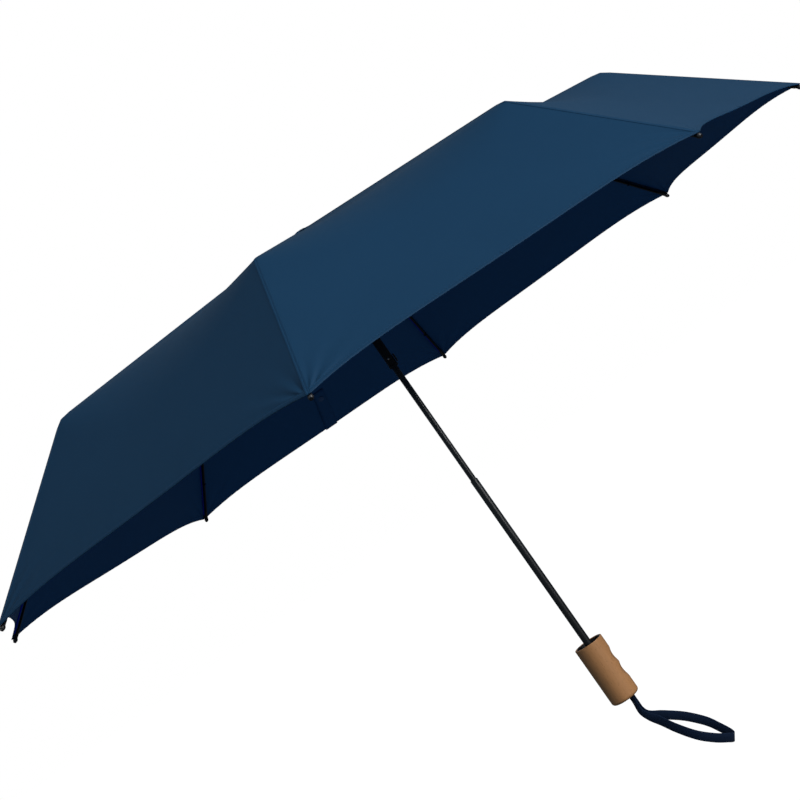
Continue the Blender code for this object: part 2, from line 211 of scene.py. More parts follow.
def grainGroup():
    # Long beech grain along the handle, with short dark flecks.
    group, start, end = newGroup("beechGrain", [("Fleck", 0.5)], ["Grain", "Flecks", "Height"])
    place = group.nodes.new("ShaderNodeTexCoord").outputs["Object"]
    long = group.nodes.new("ShaderNodeMapping")
    long.inputs["Scale"].default_value = (1, 1, 0.07)
    group.links.new(place, long.inputs["Vector"])
    bands = noise(group, long.outputs[0], 260, 4, 0.6)
    wide = noise(group, long.outputs[0], 60, 2)
    short = group.nodes.new("ShaderNodeMapping")
    short.inputs["Scale"].default_value = (1, 1, 0.16)
    group.links.new(place, short.inputs["Vector"])
    dots = noise(group, short.outputs[0], 1500, 2, 0.5)
    mark = calc(group, "GREATER_THAN", dots, 0.63)
    mixed = calc(group, "ADD", calc(group, "MULTIPLY", bands, 0.6), calc(group, "MULTIPLY", wide, 0.4))
    group.links.new(mixed, end.inputs["Grain"])
    group.links.new(calc(group, "MULTIPLY", mark, start.outputs["Fleck"]), end.inputs["Flecks"])
    group.links.new(bands, end.inputs["Height"])
    return group


def finishGroup():
    # Handling marks and dust on moulded and coated pieces.
    group, start, end = newGroup("handledSurface", [("Rough low", 0.2), ("Rough high", 0.4)],
                                 ["Roughness", "Mark", "Height"])
    place = group.nodes.new("ShaderNodeTexCoord").outputs["Object"]
    broad = noise(group, place, 45, 4)
    fine = noise(group, place, 2600, 2)
    span = calc(group, "SUBTRACT", start.outputs["Rough high"], start.outputs["Rough low"])
    rough = calc(group, "ADD", start.outputs["Rough low"], calc(group, "MULTIPLY", broad, span))
    group.links.new(rough, end.inputs["Roughness"])
    group.links.new(broad, end.inputs["Mark"])
    group.links.new(fine, end.inputs["Height"])
    return group


def stitchGroup():
    # A row of stitches along U, each pulled a little into the cloth.
    group, start, end = newGroup("stitchRow", [("Row", 0.0), ("Pitch", 0.0026)], ["Thread", "Dent"])
    uv = group.nodes.new("ShaderNodeUVMap")
    split = group.nodes.new("ShaderNodeSeparateXYZ")
    group.links.new(uv.outputs[0], split.inputs[0])
    off = calc(group, "ABSOLUTE", calc(group, "SUBTRACT", split.outputs[1], start.outputs["Row"]))
    step = calc(group, "DIVIDE", split.outputs[0], start.outputs["Pitch"])
    dash = calc(group, "LESS_THAN", calc(group, "FRACT", step), 0.72)
    thread = calc(group, "MULTIPLY", dash, calc(group, "LESS_THAN", off, 0.00022))
    dent = calc(group, "SMOOTH_MIN", calc(group, "DIVIDE", off, 0.0008), 1)
    group.links.new(thread, end.inputs["Thread"])
    group.links.new(calc(group, "ADD", dent, calc(group, "MULTIPLY", thread, 0.4)), end.inputs["Dent"])
    return group


def puckerGroup():
    # Creases that fan out from where the cloth is sewn to a tip, at the origin of the cloth's own metres.
    group, start, end = newGroup("tipPucker", [("Creases", 11.0), ("Reach", 0.035)], ["Height"])
    uv = group.nodes.new("ShaderNodeUVMap")
    split = group.nodes.new("ShaderNodeSeparateXYZ")
    group.links.new(uv.outputs[0], split.inputs[0])
    back = calc(group, "MULTIPLY", split.outputs[0], -1)
    far = calc(group, "SQRT", calc(group, "ADD", calc(group, "POWER", back, 2),
                                   calc(group, "POWER", calc(group, "ABSOLUTE", split.outputs[1]), 2)))
    fan = calc(group, "MULTIPLY", calc(group, "ARCTAN2", split.outputs[1], back), start.outputs["Creases"])
    wander = calc(group, "MULTIPLY", noise(group, uv.outputs[0], 30, 1), 5)
    wave = calc(group, "SINE", calc(group, "ADD", fan, wander))
    away = calc(group, "MULTIPLY", calc(group, "DIVIDE", far, start.outputs["Reach"]), -1)
    fade = calc(group, "MAXIMUM", calc(group, "SUBTRACT", calc(group, "EXPONENT", away), 0.08), 0)
    close = calc(group, "MINIMUM", calc(group, "DIVIDE", far, 0.012), 1)
    height = calc(group, "MULTIPLY", wave, calc(group, "MULTIPLY", fade, close))
    group.links.new(height, end.inputs["Height"])
    return group


weave, grain, handled, stitched = weaveGroup(), grainGroup(), finishGroup(), stitchGroup()
puckered = puckerGroup()


def newMaterial(name, **fixed):
    paint = bpy.data.materials.new(name)
    paint.use_nodes = True
    shader = paint.node_tree.nodes["Principled BSDF"]
    for label, value in fixed.items():
        shader.inputs[label.replace("_", " ")].default_value = value
    return paint, paint.node_tree, shader


def use(tree, group, **values):
    node = tree.nodes.new("ShaderNodeGroup")
    node.node_tree = group
    for label, value in values.items():
        node.inputs[label.replace("_", " ")].default_value = value
    return node


def blendColours(tree, share, one, two):
    node = tree.nodes.new("ShaderNodeMix")
    node.data_type = "RGBA"
    for socket, value in ((node.inputs[6], one), (node.inputs[7], two)):
        if hasattr(value, "links"):
            tree.links.new(value, socket)
        else:
            socket.default_value = (*value, 1)
    tree.links.new(share, node.inputs[0])
    return node.outputs[2]


def bump(tree, shader, height, distance, strength=1.0):
    node = tree.nodes.new("ShaderNodeBump")
    node.inputs["Distance"].default_value = distance
    node.inputs["Strength"].default_value = strength
    tree.links.new(height, node.inputs["Height"])
    tree.links.new(node.outputs[0], shader.inputs["Normal"])


# Painted light: the inner colours, shown on the cloth's back face, are several times lighter than the outer
# ones and stand in for the light that passes through the thin cloth.
clothLook = {
    "outer": (0.0050, 0.0285, 0.066), "outerThread": (0.0072, 0.0370, 0.083),
    "inner": (0.0170, 0.1050, 0.320), "innerThread": (0.0210, 0.1300, 0.380),
    "roughness": 0.5, "sheen": 0.0, "specular": 0.09,
}
# Painted light: the seam's inner colours are lightened the same way, standing in for light passing through
# the cloth.
seamLook = {
    "outer": (0.0046, 0.0265, 0.062), "outerThread": (0.0065, 0.034, 0.077),
    "inner": (0.0160, 0.0980, 0.300), "innerThread": (0.0200, 0.1200, 0.360),
    "roughness": 0.5, "sheen": 0.0, "specular": 0.09,
}
# Cloth showing the lightened inner colours on both faces: painted light passing through the canopy.
throughLitLook = {**seamLook, "outer": seamLook["inner"], "outerThread": seamLook["innerThread"]}
# Painted light: the selvedge is as light as the canopy's inside and also glows a little, standing in for
# light shining through its single ply.
selvedgeLook = {
    "outer": (0.0004, 0.0080, 0.30), "outerThread": (0.0006, 0.0110, 0.38),
    "inner": (0.0004, 0.0080, 0.30), "innerThread": (0.0006, 0.0110, 0.38),
    "roughness": 0.5, "sheen": 0.0, "specular": 0.1, "paintedGlow": 0.1,  # light shines through its single ply
}
tapeLook = {
    "outer": (0.0030, 0.0100, 0.031), "outerThread": (0.0045, 0.0150, 0.043),
    "inner": (0.0030, 0.0100, 0.031), "innerThread": (0.0045, 0.0150, 0.043),
    "roughness": 0.7, "sheen": 0.05, "specular": 0.12,
}


def clothMaterial(name, look, threads=2400, depth=0.00004, row=None, pitch=0.0026, creased=0):
    paint, tree, shader = newMaterial(name, Roughness=look["roughness"], Sheen_Weight=look["sheen"],
                                      Specular_IOR_Level=look["specular"])
    shader.inputs["Sheen Roughness"].default_value = 0.45
    cloth = use(tree, weave, Threads_per_metre=threads)
    mixed = calc(tree, "ADD", calc(tree, "MULTIPLY", cloth.outputs["Thread"], 0.45),
                 calc(tree, "MULTIPLY", cloth.outputs["Cloud"], 0.55))
    outer = blendColours(tree, mixed, look["outer"], look["outerThread"])
    inner = blendColours(tree, mixed, look["inner"], look["innerThread"])
    # The back face takes the lighter inner colours: painted light passing through the cloth.
    facing = tree.nodes.new("ShaderNodeNewGeometry").outputs["Backfacing"]
    colour, height = blendColours(tree, facing, outer, inner), cloth.outputs["Height"]
    if row is not None:
        sewn = use(tree, stitched, Row=row, Pitch=pitch)
        colour = blendColours(tree, calc(tree, "MULTIPLY", sewn.outputs["Thread"], 0.6), colour,
                              [share * 2.2 for share in look["outerThread"]])
        height = calc(tree, "ADD", height, calc(tree, "MULTIPLY", sewn.outputs["Dent"], 6))
    if creased:
        fan = use(tree, puckered)
        height = calc(tree, "ADD", height, calc(tree, "MULTIPLY", fan.outputs["Height"], creased))
    tree.links.new(colour, shader.inputs["Base Color"])
    # Painted glow: the cloth sends out its own colour, standing in for light shining through it; only the
    # selvedge has any.
    tree.links.new(colour, shader.inputs["Emission Color"])
    shader.inputs["Emission Strength"].default_value = look.get("paintedGlow", 0)
    bump(tree, shader, height, depth)
    return paint


navyCloth = clothMaterial("navyCloth", clothLook, creased=22)
seamCloth = clothMaterial("seamCloth", seamLook, row=0.0)
hemCloth = clothMaterial("hemCloth", seamLook, row=0.0048, pitch=0.003)
# Cloth lightened on both faces, painted light through the canopy, for the hem's underside and the closing
# band.
throughLitCloth = clothMaterial("throughLitCloth", throughLitLook, row=0.0048, pitch=0.003)
selvedge = clothMaterial("selvedge", selvedgeLook)
navyTape = clothMaterial("navyTape", tapeLook, threads=1400, depth=0.0001)


woodLook = {
    "dark": (0.340, 0.155, 0.058), "light": (0.500, 0.250, 0.105), "fleck": (0.20, 0.085, 0.035),
    "fleckShare": 0.35, "roughness": 0.42, "specular": 0.4, "depth": 0.00003,
}


def woodMaterial():
    paint, tree, shader = newMaterial("beechWood", Roughness=woodLook["roughness"],
                                      Specular_IOR_Level=woodLook["specular"])
    wood = use(tree, grain, Fleck=woodLook["fleckShare"])
    body = blendColours(tree, wood.outputs["Grain"], woodLook["dark"], woodLook["light"])
    tree.links.new(blendColours(tree, wood.outputs["Flecks"], body, woodLook["fleck"]),
                   shader.inputs["Base Color"])
    bump(tree, shader, wood.outputs["Height"], woodLook["depth"])
    return paint


coatings = {  # colour, colour where handled, roughness from and to, metallic, depth of the finish
    "blackPlastic": ((0.008, 0.008, 0.010), (0.014, 0.014, 0.016), 0.35, 0.5, 0.0, 0.00003),
    "capPlastic": ((0.0060, 0.0330, 0.074), (0.0070, 0.0380, 0.085), 0.5, 0.6, 0.0, 0.00003),
    # The band's button copies the canopy inside's lightened blue, which is painted light passing through the
    # cloth.
    "buttonPlastic": ((0.016, 0.098, 0.30), (0.018, 0.108, 0.33), 0.4, 0.55, 0.0, 0.00003),
    "ribSteel": ((0.010, 0.010, 0.012), (0.018, 0.018, 0.020), 0.25, 0.42, 0.6, 0.00001),
    "brightSteel": ((0.55, 0.55, 0.53), (0.42, 0.42, 0.40), 0.22, 0.35, 1.0, 0.00001),
}


def coatedMaterial(name):
    colour, marked, low, high, metal, depth = coatings[name]
    paint, tree, shader = newMaterial(name, Metallic=metal)
    surface = use(tree, handled, Rough_low=low, Rough_high=high)
    tree.links.new(surface.outputs["Roughness"], shader.inputs["Roughness"])
    tree.links.new(blendColours(tree, surface.outputs["Mark"], colour, marked), shader.inputs["Base Color"])
    bump(tree, shader, surface.outputs["Height"], depth)
    return paint


lacquerLook = {
    "colour": (0.004, 0.004, 0.005), "marked": (0.007, 0.007, 0.008), "roughness": (0.27, 0.33),
    "specular": 0.7,
}


def lacquerMaterial():
    # Gloss black lacquer on the tubes, with slow changes in its shine only.
    paint, tree, shader = newMaterial("tubeCoat", Specular_IOR_Level=lacquerLook["specular"])
    low, high = lacquerLook["roughness"]
    surface = use(tree, handled, Rough_low=low, Rough_high=high)
    tree.links.new(surface.outputs["Roughness"], shader.inputs["Roughness"])
    colour = blendColours(tree, surface.outputs["Mark"], lacquerLook["colour"], lacquerLook["marked"])
    tree.links.new(colour, shader.inputs["Base Color"])
    return paint


beechWood = woodMaterial()
tubeCoat = lacquerMaterial()
blackPlastic, capPlastic, buttonPlastic, ribSteel, brightSteel = (coatedMaterial(name) for name in coatings)
print("materials done")

# ---- building helpers


def addMesh(name, points, faces, paint, smooth=True):
    data = bpy.data.meshes.new(name)
    data.from_pydata([tuple(point) for point in points], [], [tuple(face) for face in faces])
    data.materials.append(paint)
    if smooth:
        data.shade_smooth()
    obj = bpy.data.objects.new(name, data)
    bpy.context.scene.collection.objects.link(obj)
    return obj


def setUv(obj, coordinates):
    layer = obj.data.uv_layers.new(name="UVMap")
    order = np.empty(len(obj.data.loops), np.int32)
    obj.data.loops.foreach_get("vertex_index", order)
    layer.data.foreach_set("uv", np.asarray(coordinates, np.float32)[order].ravel())


def turned(name, profile, paint, steps=96):
    # A profile of (radius, height) turned about the shaft, down its outer side.
    points, faces = [], []
    for radius, height in profile:
        for step in range(steps):
            angle = 2 * math.pi * step / steps
            points.append((radius * math.cos(angle), radius * math.sin(angle), height))
    for row in range(len(profile) - 1):
        here, below = row * steps, (row + 1) * steps
        for step in range(steps):
            after = (step + 1) % steps
            faces.append((here + step, below + step, below + after, here + after))
    obj = addMesh(name, points, faces, paint)
    obj.data.set_sharp_from_angle(angle=math.radians(40))
    return obj


def loft(rows, count):
    # The faces of a closed tube of rows with count points each, with both ends filled.
    faces = []
    for row in range(rows - 1):
        here, beyond = row * count, (row + 1) * count
        for column in range(count):
            after = (column + 1) % count
            faces.append((here + column, here + after, beyond + after, beyond + column))
    return [*faces, tuple(reversed(range(count))), tuple(range((rows - 1) * count, rows * count))]


def spun(points, azimuth):
    turn = Matrix.Rotation(azimuth, 3, "Z")
    return [turn @ Vector(point) for point in points]


def along(slope):
    return Vector((math.cos(slope), 0, -math.sin(slope)))


def upward(slope):
    return Vector((math.sin(slope), 0, math.cos(slope)))


# ---- wrist strap

strap = {
    "width": 0.010, "thickness": 0.0011,
    "exitWidth": (-0.70, 0.70, 0.0),  # the tape's broad direction at the handle
    "loopWidth": (-0.522, 0.210, -0.826),  # and in the loop
    "twist": (0.010, 0.034),  # it turns between these distances from the handle
    "narrow": 0.68, "spread": (0.022, 0.045),  # gathered where it comes out, and flat from here on
}
strapRoute = (  # millimetres, the same points as the strap's solid
    (4.8, -0.7, 5.0), (4.8, -0.8, -8.0), (4.4, -2.3, -19.0), (8.6, -4.4, -27.5),
    (16.0, -8.5, -36.5), (26.0, -18.7, -49.0), (39.7, -26.9, -64.4),
    (53.2, -25.0, -77.5), (63.4, -20.5, -85.7), (68.3, -15.5, -89.6),
    (67.6, -10.0, -86.8), (60.8, -2.6, -76.6), (52.5, 3.5, -65.4),
    (37.8, 4.4, -49.8), (22.4, 0.5, -36.4), (10.6, -2.0, -27.0),
    (6.4, -0.2, -19.0), (6.2, 0.6, -8.0), (6.2, 0.7, 5.0),
)


def through(points, steps):
    # A smooth curve through the points, read at equal shares of each span.
    ends = [points[0] * 2 - points[1], *points, points[-1] * 2 - points[-2]]
    route = []
    for before, one, two, after in zip(ends, ends[1:], ends[2:], ends[3:]):
        for step in range(steps):
            t = step / steps
            route.append(0.5 * (
                2 * one + (two - before) * t + (2 * before - 5 * one + 4 * two - after) * t * t
                + (3 * one - before - 3 * two + after) * t ** 3
            ))
    return [*route, points[-1]]


def smoothStep(low, high, value):
    share = min(1, max(0, (value - low) / (high - low)))
    return share * share * (3 - 2 * share)


def makeStrap():
    route = through([Vector(point) / 1000 for point in strapRoute], 8)
    steps = [0]
    for one, two in zip(route, route[1:]):
        steps.append(steps[-1] + (two - one).length)
    length = steps[-1]
    across = [(-1, -0.35), (-0.93, -0.5), (0, -0.5), (0.93, -0.5), (1, -0.35),
              (1, 0.35), (0.93, 0.5), (0, 0.5), (-0.93, 0.5), (-1, 0.35)]
    exitWide, loopWide = Vector(strap["exitWidth"]), Vector(strap["loopWidth"])
    width, thickness, narrow = strap["width"], strap["thickness"], strap["narrow"]
    points, uv = [], []
    for index, (place, run) in enumerate(zip(route, steps)):
        ahead = (route[min(index + 1, len(route) - 1)] - route[max(index - 1, 0)]).normalized()
        fromHandle = min(run, length - run)
        wide = exitWide.lerp(loopWide, smoothStep(*strap["twist"], fromHandle))
        wide = (wide - ahead * wide.dot(ahead)).normalized()
        thin = ahead.cross(wide)
        gathered = narrow + (1 - narrow) * smoothStep(*strap["spread"], fromHandle)
        for side, level in across:
            points.append(place + wide * side * gathered * width / 2 + thin * level * thickness)
            uv.append((run, side * width / 2 + level * 0.001))
    obj = addMesh("wristTape", points, loft(len(route), len(across)), navyTape)
    setUv(obj, uv)
    obj.data.set_sharp_from_angle(angle=math.radians(50))
    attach(obj, "handle")
    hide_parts("wrist_strap")
    print("strap", round(length, 3), "m")


makeStrap()

# ---- handle and shaft

handleShape = {
    "edge": 0.0035, "rim": 0.0006, "cupWall": 0.0016, "grooves": (0.04352, 0.02652),
    "grooveDepth": 0.0022, "grooveRadius": 0.0165, "crestSoftness": 0.0006,
    "linerGap": 0.0003, "farLimit": 0.004,  # beyond the wood, where no groove reaches
    "levels": 90, "pressSoftness": 0.7,  # a share of the crests' softness
    "cupGap": 0.0002, "pressGap": 0.001,
}


def grooveLimit(height, radius):
    # How far the wood reaches towards the fingers at this height, with soft crests between the grooves.
    limits = [radius + handleShape["farLimit"]]
    for middle in handleShape["grooves"]:
        off = height - middle
        if abs(off) < handleShape["grooveRadius"]:
            arc = math.sqrt(handleShape["grooveRadius"] ** 2 - off * off)
            limits.append(radius - handleShape["grooveDepth"] + handleShape["grooveRadius"] - arc)
    soft = handleShape["crestSoftness"]
    return -soft * math.log(sum(math.exp(-limit / soft) for limit in limits))


def makeHandle():
    low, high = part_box("handle")
    radius, length = (high.y - low.y) / 2, high.z
    edge, rim = handleShape["edge"], handleShape["rim"]
    cup = radius - handleShape["cupWall"]
    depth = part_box("cup_liner")[0].z - handleShape["linerGap"]
    profile = [(cup, depth), (cup, length - rim)]
    profile += [(cup + rim * (1 - math.cos(a)), length - rim * (1 - math.sin(a)))
                for a in np.radians([15, 30, 45, 60, 75, 90])]
    profile += [(radius - rim * (1 - math.sin(a)), length - rim * (1 - math.cos(a)))
                for a in np.radians([0, 15, 30, 45, 60, 75, 90])]
    levels = np.linspace(length - rim, edge, handleShape["levels"])[1:]
    profile += [(radius, z) for z in levels]
    profile += [(radius - edge * (1 - math.cos(a)), edge * (1 - math.sin(a)))
                for a in np.radians([10, 20, 30, 40, 50, 60, 70, 80, 90])]
    profile += [(0.0001, 0)]
    obj = turned("handleWood", profile, beechWood, steps=128)
    soft = handleShape["crestSoftness"] * handleShape["pressSoftness"]
    for vert in obj.data.vertices:
        away = math.hypot(vert.co.x, vert.co.y)
        if vert.co.x <= 0 or away < cup + handleShape["cupGap"]:
            continue
        limit = grooveLimit(vert.co.z, radius)
        pressed = -soft * math.log(math.exp(-vert.co.x / soft) + math.exp(-limit / soft))
        if limit < radius + handleShape["pressGap"]:
            vert.co.x = min(vert.co.x, pressed)
    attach(obj, "handle")
    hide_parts("handle")
    for slot in frame["nodes"]["cup_liner"].material_slots:
        slot.material = blackPlastic


tubeShape = {"lip": 0.0004, "wall": 0.0006, "bore": 0.004}


def makeTubes():
    lip, wall = tubeShape["lip"], tubeShape["wall"]
    bodies = {"lower_tube": "handle", "middle_tube": "middle_tube", "upper_tube": "upper_tube"}
    for node, body in bodies.items():
        low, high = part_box(node)
        radius = (high.y - low.y) / 2
        profile = [(radius - wall, high.z - tubeShape["bore"]), (radius - wall, high.z - 0.0001)]
        profile += [(radius - lip * (1 - math.sin(a)), high.z - lip * (1 - math.cos(a)))
                    for a in np.radians([0, 20, 40, 60, 80, 90])]
        profile += [(radius, low.z), (radius - lip, low.z)]
        obj = turned(f"{node}Coated", profile, tubeCoat)
        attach(obj, body)
        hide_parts(node)


makeHandle()
makeTubes()
print("handle and shaft done")

# ---- CAD pieces that keep their shape

for name, node in frame["nodes"].items():
    if name in ("middle_tube_foot", "upper_tube_foot", "crown_notch", "runner", "runner_catch"):
        finish = blackPlastic
    elif name[:-2] in ("inner_rib", "middle_rib", "outer_rib", "stretcher"):
        finish = ribSteel
    else:
        continue
    node.data.materials.clear()
    node.data.materials.append(finish)

# ---- canopy

canopy = {
    "roofSlope": math.radians(7.65), "rimSlope": math.radians(38.76),
    "ribReach": 0.1906,  # from the knee to the hem corner, along the outer rib
    "clothHeight": 0.00335, "ribHalf": 0.0013, "outerHalf": 0.0011, "pivotGap": 0.0003,
    "holeRadius": 0.0066, "seamHalf": 0.0022,
    "kneeSag": 0.005, "foldSag": 0.004, "hemSag": 0.003, "scallop": 0.014,
    "cusp": 4.5,  # how sharply the hem runs in to each tip
    "kneeRound": 0.006, "kneeSpread": 0.060,  # the bend over the knee, at a rib and added at mid-gore
    "pocket": 0.004,  # the cloth reaches this far along the tip
    "keep": 0.04, "columns": 14, "rowSpacing": 0.007,
    "crowding": 1.3,  # columns stand closer together near the rib
    # how far the cloth falls away from its rib as it spreads
    "lean": {"roof": 0.055, "shoulder": 0.20, "rim": 0.24},
}


def pivot(name):
    return Vector(joints[f"{name}_hinge"]["pos_m"])


crownPivot, foldPivot, kneePivot = pivot("inner_rib_0"), pivot("middle_rib_0"), pivot("outer_rib_0")
roofSlope, rimSlope = canopy["roofSlope"], canopy["rimSlope"]


def crossing(one, slopeOne, two, slopeTwo):
    u, v, gap = along(slopeOne), along(slopeTwo), two - one
    return one + u * ((gap.x * v.z - gap.z * v.x) / (u.x * v.z - u.z * v.x))


ribReach = canopy["ribReach"]
roofStart = crownPivot + canopy["clothHeight"] * upward(roofSlope)
hemPoint = (kneePivot + ribReach * along(rimSlope)
            + (2 * canopy["outerHalf"] + canopy["pivotGap"] + canopy["clothHeight"] - canopy["ribHalf"])
            * upward(rimSlope))
kneePoint = crossing(roofStart, roofSlope, hemPoint, rimSlope)
foldRun = (foldPivot - crownPivot).dot(along(roofSlope))
kneeRun = (kneePoint - roofStart).length
hemRun = kneeRun + (hemPoint - kneePoint).length + canopy["pocket"]
startRun = (canopy["holeRadius"] - roofStart.x) / math.cos(roofSlope)


def meridian(run, share=0):
    # The cloth's line outwards from the crown, rounded over the knee: point, slope.
    reach = canopy["kneeRound"] + canopy["kneeSpread"] * share * (2 - share)
    turn = min(1, max(0, (run - kneeRun + reach) / (2 * reach)))
    slope = roofSlope + (rimSlope - roofSlope) * turn
    if turn == 0:
        return roofStart + along(roofSlope) * run, slope
    if turn == 1:
        return kneePoint + along(rimSlope) * (run - kneeRun), slope
    inner, outer = kneePoint - along(roofSlope) * reach, kneePoint + along(rimSlope) * reach
    return inner * (1 - turn) ** 2 + kneePoint * 2 * turn * (1 - turn) + outer * turn ** 2, slope


def sagAt(run):
    # How far the cloth drops below its rib's line at mid-gore.
    fold, knee, hem = canopy["foldSag"], canopy["kneeSag"], canopy["hemSag"]
    if run <= foldRun:
        return fold * max(0, run) / foldRun
    if run <= kneeRun:
        return fold + (knee - fold) * (run - foldRun) / (kneeRun - foldRun)
    return knee + (hem - knee) * (run - kneeRun) / (hemRun - kneeRun)


def clothPoint(run, share, side):
    # share is 0 at the rib and 1 halfway to the next one.
    point, slope = meridian(run, share)
    bow = share * (2 - share)
    rim = max(0, (run - kneeRun) / (hemRun - kneeRun))
    pull = canopy["scallop"] * rim * rim * (1 - max(0, 1 - share) ** canopy["cusp"])
    dropped = point - upward(slope) * sagAt(run) * bow - along(slope) * pull
    chord = dropped.x * math.cos(halfAngle)
    x = dropped.x + share * (chord * math.cos(halfAngle) - dropped.x)
    seam = min(canopy["seamHalf"], chord * math.sin(halfAngle) * 0.5)
    y = seam + share * (chord * math.sin(halfAngle) - seam)
    return Vector((x, side * y, dropped.z))


def clothRuns(low, high, spacing):
    count = max(2, round((high - low) / spacing))
    return list(np.linspace(low, high, count + 1))


def runWhere(x, share):
    # How far out the cloth's line at this share is when it reaches x.
    low, high = 0, hemRun
    for _ in range(30):
        middle = (low + high) / 2
        if clothPoint(middle, share, 1).x < x:
            low = middle
        else:
            high = middle
    return low


def clothSheet(name, low, high, azimuth, side):
    # Half of a piece, from the rib to halfway to the next one. A fold runs square to the rib.
    steps = canopy["columns"]
    shares = [None] + [(step / steps) ** canopy["crowding"] for step in range(steps + 1)]
    rows = max(2, round((high - low) / canopy["rowSpacing"]))
    lowX, highX = clothPoint(low, 0, 1).x, clothPoint(high, 0, 1).x
    wide, step, nudge = len(shares), 0.0004, 0.002  # the last two measure slopes
    points, uv, normals = ([None] * wide * (rows + 1) for _ in range(3))
    for column, given in enumerate(shares):
        share = given or 0
        first = low if low == startRun else runWhere(lowX, share)
        last = high if high == hemRun else runWhere(highX, share)
        for row, run in enumerate(np.linspace(first, last, rows + 1)):
            here = clothPoint(run, share, side)
            ahead = clothPoint(run + step, share, side) - clothPoint(run - step, share, side)
            before = max(0, share - nudge)
            across = (clothPoint(run, before + 2 * nudge, side) - clothPoint(run, before, side)) * side
            if given is None:
                here.y = 0
            place = row * wide + column
            points[place], uv[place] = here, (run - hemRun, here.y)
            normals[place] = ahead.cross(across).normalized()
    faces = []
    for row in range(rows):
        for column in range(wide - 1):
            a = row * wide + column
            face = (a, a + wide, a + wide + 1, a + 1)
            faces.append(face if side > 0 else face[::-1])
    obj = addMesh(name, spun(points, azimuth), faces, navyCloth)
    obj.data.normals_split_custom_set_from_vertices(spun(normals, azimuth))
    setUv(obj, uv)
    return obj


def foldWith(obj, body):
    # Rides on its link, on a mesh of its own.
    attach(obj, body)
    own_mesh(obj)


def clothPieces(index):
    # Each piece's kind, first and last run, the run it gathers about, its link and its CAD node.
    return (
        ("roof", startRun, foldRun, startRun, f"inner_rib_{index}", f"roof_panel_{index}"),
        ("shoulder", foldRun, kneeRun, foldRun, f"middle_rib_{index}", f"rim_panel_{index}"),
        ("rim", kneeRun, hemRun, hemRun, f"outer_rib_{index}", f"rim_panel_{index}"),
    )


def cutArea(low, high):
    # Half a piece as it is cut: the shares of the gore's flat triangle inside each end.
    ends = [clothPoint(run, 0, 1).x for run in (low, high)]
    slope = meridian((low + high) / 2)[1]
    inner, outer = (end * end * math.tan(halfAngle) / 2 for end in ends)
    if high == hemRun:
        outer *= math.cos(halfAngle) ** 2
    return (outer - inner) / math.cos(slope)


def ribStrip(name, low, high, azimuth, section, paint):
    # A narrow strip along a rib: section is a closed run of (sideways, lift) about the cloth's own line.
    runs = clothRuns(low, high, seam["spacing"])
    points, uv, faces = [], [], []
    for run in runs:
        point, slope = meridian(run)
        for side, lift in section:
            points.append(point + upward(slope) * lift + Vector((0, side, 0)))
            uv.append((run, side))
    count = len(section)
    for row in range(len(runs) - 1):
        for column in range(count):
            after = (column + 1) % count
            faces.append((row * count + column, (row + 1) * count + column,
                          (row + 1) * count + after, row * count + after))
    faces.append(tuple(range(count)))
    faces.append(tuple((len(runs) - 1) * count + column for column in reversed(range(count))))
    obj = addMesh(name, spun(points, azimuth), faces, paint)
    obj.data.set_sharp_from_angle(angle=math.radians(50))
    setUv(obj, uv)
    return obj


seam = {
    "ridge": ((-0.0021, -0.0003), (-0.0019, 0.0004), (-0.0012, 0.0006), (0.0012, 0.0006), (0.0019, 0.0004),
              (0.0021, -0.0003)),
    "fin": ((0.0014, -0.0003), (0.0017, -0.0003), (0.0020, -0.0014), (0.0017, -0.0015)),
    "finEnd": 0.007,  # short of the hem
    "spacing": 0.010,
    "hemWidth": 0.0062, "hemLift": 0.0004, "pucker": 0.00010, "puckerPitch": 0.009, "hemSteps": 44,
}


def makeHem(index, azimuth, side):
    # The doubled hem, wrapped round the cloth's edge, with the small puckers of its stitching.
    width, lift = seam["hemWidth"], seam["hemLift"]
    section = [(-width, 0.00012), (-width * 0.5, lift), (-0.0003, lift), (0.0002, 0),
               (-0.0003, -lift), (-width * 0.5, -lift), (-width, -0.00012)]
    slope = meridian(hemRun)[1]
    points, uv, faces = [], [], []
    for step in range(seam["hemSteps"] + 1):
        share = (step / seam["hemSteps"]) ** canopy["crowding"]
        edge = clothPoint(hemRun, share, side)
        wave = math.sin(2 * math.pi * edge.y / seam["puckerPitch"]) * seam["pucker"] * min(1, share * 8)
        for back, raised in section:
            here = clothPoint(hemRun + back, share, side)
            points.append(here + upward(slope) * (raised + wave * (1 + back / width)))
            uv.append((edge.y, -back))
    count, under = len(section), []
    for row in range(seam["hemSteps"]):
        for column in range(count - 1):
            a, b = row * count + column, (row + 1) * count + column
            face = (a, a + 1, b + 1, b)
            faces.append(face if side > 0 else face[::-1])
            under.append(column >= 3)
    obj = addMesh(f"hem{'Left' if side > 0 else 'Right'}_{index}", spun(points, azimuth), faces, hemCloth)
    # The hem's underside faces take the lightened inside colour: painted light passing through the canopy.
    obj.data.materials.append(throughLitCloth)
    obj.data.polygons.foreach_set("material_index", under)
    setUv(obj, uv)
    return obj


def makeCanopy():
    for index in range(ribCount):
        azimuth = 2 * halfAngle * index
        for kind, low, high, fixed, body, node in clothPieces(index):
            strips = [
                ribStrip(f"{kind}Seam_{index}", low, high, azimuth, seam["ridge"], seamCloth),
                ribStrip(f"{kind}Selvedge_{index}", low, min(high, hemRun - seam["finEnd"]), azimuth,
                         seam["fin"], selvedge),
            ]
            for piece in strips:
                foldWith(piece, body)
            for side, word in ((1, "Left"), (-1, "Right")):
                obj = clothSheet(f"{kind}{word}_{index}", low, high, azimuth, side)
                sewn = [makeHem(index, azimuth, side)] if kind == "rim" else []
                for piece in [obj, *sewn]:
                    foldWith(piece, body)
                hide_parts(node)
                round(cutArea(low, high), 5)


makeCanopy()
print("canopy done")

# ---- small fittings on the frame

